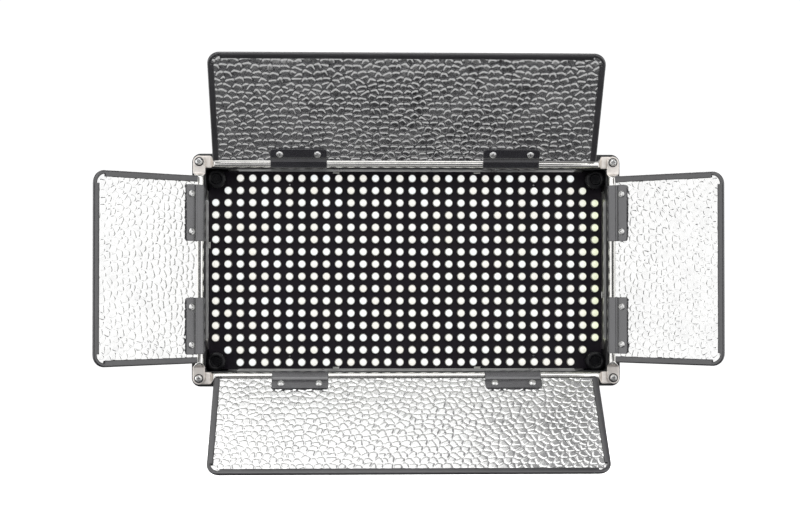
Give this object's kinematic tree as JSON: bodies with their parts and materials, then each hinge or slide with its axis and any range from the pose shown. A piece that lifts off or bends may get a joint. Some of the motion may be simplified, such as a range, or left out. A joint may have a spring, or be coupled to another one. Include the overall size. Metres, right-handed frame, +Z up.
{
  "type": "led panel light",
  "caption": "Rectangular LED panel light with hammered barn doors on hinge rods, a tilting yoke with a stand socket, and dimmer controls on its back.",
  "frame": {"origin": "centre of the stand socket's mouth, on the bore's axis", "axes": "+X to the right seen from the front, -Y the way the light shines, +Y out of the stand socket's mouth, +Z up"},
  "size_m": [0.4813, 0.2831, 0.3223],
  "materials": {
    "black_frame": "satin",
    "yoke_black": "matte",
    "door_black": "satin",
    "hammered": "polished",
    "clip_sheet": "satin",
    "plated_rod": "polished",
    "steel": "satin",
    "black_washer": "satin",
    "liner": "polished",
    "spreader": "satin",
    "insert": "satin",
    "friction": "matte",
    "black_board": "satin",
    "led_epoxy": "gloss",
    "post_plastic": "satin",
    "knob_plastic": "matte",
    "panel_plastic": "matte",
    "rocker_plastic": "gloss",
    "window": "gloss",
    "display_cell": "gloss",
    "contact_brass": "polished",
    "green_board": "satin"
  },
  "bodies": {
    "yoke": {"yoke_bracket": "yoke_black", "stand_socket": "yoke_black", "socket_screws": "steel"},
    "socket_clamp": {"clamp_knob": "knob_plastic", "clamp_screw": "steel"},
    "head": {"front_bezel": "black_frame", "housing_shell": "black_frame", "back_cover": "black_frame", "housing_fasteners": "steel", "pivot_inserts": "insert", "friction_pads": "friction", "led_board": "black_board", "led_emitters": "led_epoxy", "corner_posts": "post_plastic", "heat_spreader": "spreader", "recess_liners": "liner", "filter_hooks": "liner", "rod_top": "plated_rod", "rod_bottom": "plated_rod", "rod_left": "plated_rod", "rod_right": "plated_rod", "corner_washers": "black_washer", "corner_screws": "steel", "switch_frame": "panel_plastic", "display_window": "window", "display": "display_cell", "dc_inlet": "panel_plastic", "power_contacts": "contact_brass", "battery_plate": "panel_plastic", "driver_board": "green_board", "board_standoffs": "contact_brass", "control_board": "green_board"},
    "tilt_lock_left": {"tilt_knob_left": "knob_plastic", "tilt_stud_left": "steel"},
    "tilt_lock_right": {"tilt_knob_right": "knob_plastic", "tilt_stud_right": "steel"},
    "brightness": {"brightness_knob": "knob_plastic"},
    "colour": {"colour_knob": "knob_plastic"},
    "power": {"rocker": "rocker_plastic"},
    "battery_button": {"battery_release": "knob_plastic"},
    "door_top": {"door_top_panel": "door_black", "door_top_reflector": "hammered", "door_top_clips": "clip_sheet", "door_top_screws": "steel", "door_top_nuts": "steel"},
    "door_bottom": {"door_bottom_panel": "door_black", "door_bottom_reflector": "hammered", "door_bottom_clips": "clip_sheet", "door_bottom_screws": "steel", "door_bottom_nuts": "steel"},
    "door_left": {"door_left_panel": "door_black", "door_left_reflector": "hammered", "door_left_clips": "clip_sheet", "door_left_screws": "steel", "door_left_nuts": "steel"},
    "door_right": {"door_right_panel": "door_black", "door_right_reflector": "hammered", "door_right_clips": "clip_sheet", "door_right_screws": "steel", "door_right_nuts": "steel"}
  },
  "joints": [
    {"name": "head_tilt", "type": "hinge", "parent": "yoke", "child": "head", "pos_m": [0, -0.18, 0], "axis": [1, 0, 0], "range_deg": [-90, 105]},
    {"name": "door_right_hinge", "type": "hinge", "parent": "head", "child": "door_right", "pos_m": [0.1655, -0.212, 0], "axis": [0, 0, -1], "range_deg": [-45.5, 141.5]},
    {"name": "door_left_hinge", "type": "hinge", "parent": "head", "child": "door_left", "pos_m": [-0.1655, -0.212, 0], "axis": [0, 0, 1], "range_deg": [-46.3, 140.7]},
    {"name": "door_bottom_hinge", "type": "hinge", "parent": "head", "child": "door_bottom", "pos_m": [0, -0.212, -0.085], "axis": [-1, 0, 0], "range_deg": [-49.7, 102.3]},
    {"name": "door_top_hinge", "type": "hinge", "parent": "head", "child": "door_top", "pos_m": [0, -0.212, 0.085], "axis": [1, 0, 0], "range_deg": [-39.7, 112.3]},
    {"name": "socket_clamp_turn", "type": "hinge", "parent": "yoke", "child": "socket_clamp", "pos_m": [0, -0.02, 0], "axis": [1, 0, 0], "range_deg": [0, 180]},
    {"name": "tilt_lock_left_turn", "type": "hinge", "parent": "head", "child": "tilt_lock_left", "pos_m": [-0.19, -0.18, 0], "axis": [-1, 0, 0], "range_deg": [0, 180]},
    {"name": "tilt_lock_right_turn", "type": "hinge", "parent": "head", "child": "tilt_lock_right", "pos_m": [0.19, -0.18, 0], "axis": [1, 0, 0], "range_deg": [0, 180]},
    {"name": "brightness_turn", "type": "hinge", "parent": "head", "child": "brightness", "pos_m": [0.09, -0.152, -0.058], "axis": [0, 1, 0], "range_deg": [-135, 135]},
    {"name": "colour_turn", "type": "hinge", "parent": "head", "child": "colour", "pos_m": [0.132, -0.152, -0.058], "axis": [0, 1, 0], "range_deg": [-135, 135]},
    {"name": "power_rock", "type": "hinge", "parent": "head", "child": "power", "pos_m": [0.111, -0.153, 0.034], "axis": [-1, 0, 0], "range_deg": [0, 14]},
    {"name": "battery_button_push", "type": "slide", "parent": "head", "child": "battery_button", "axis": [-1, 0, 0], "range_m": [0, 0.0022], "stiffness_N_per_m": 400, "springref_m": -0.004}
  ]
}
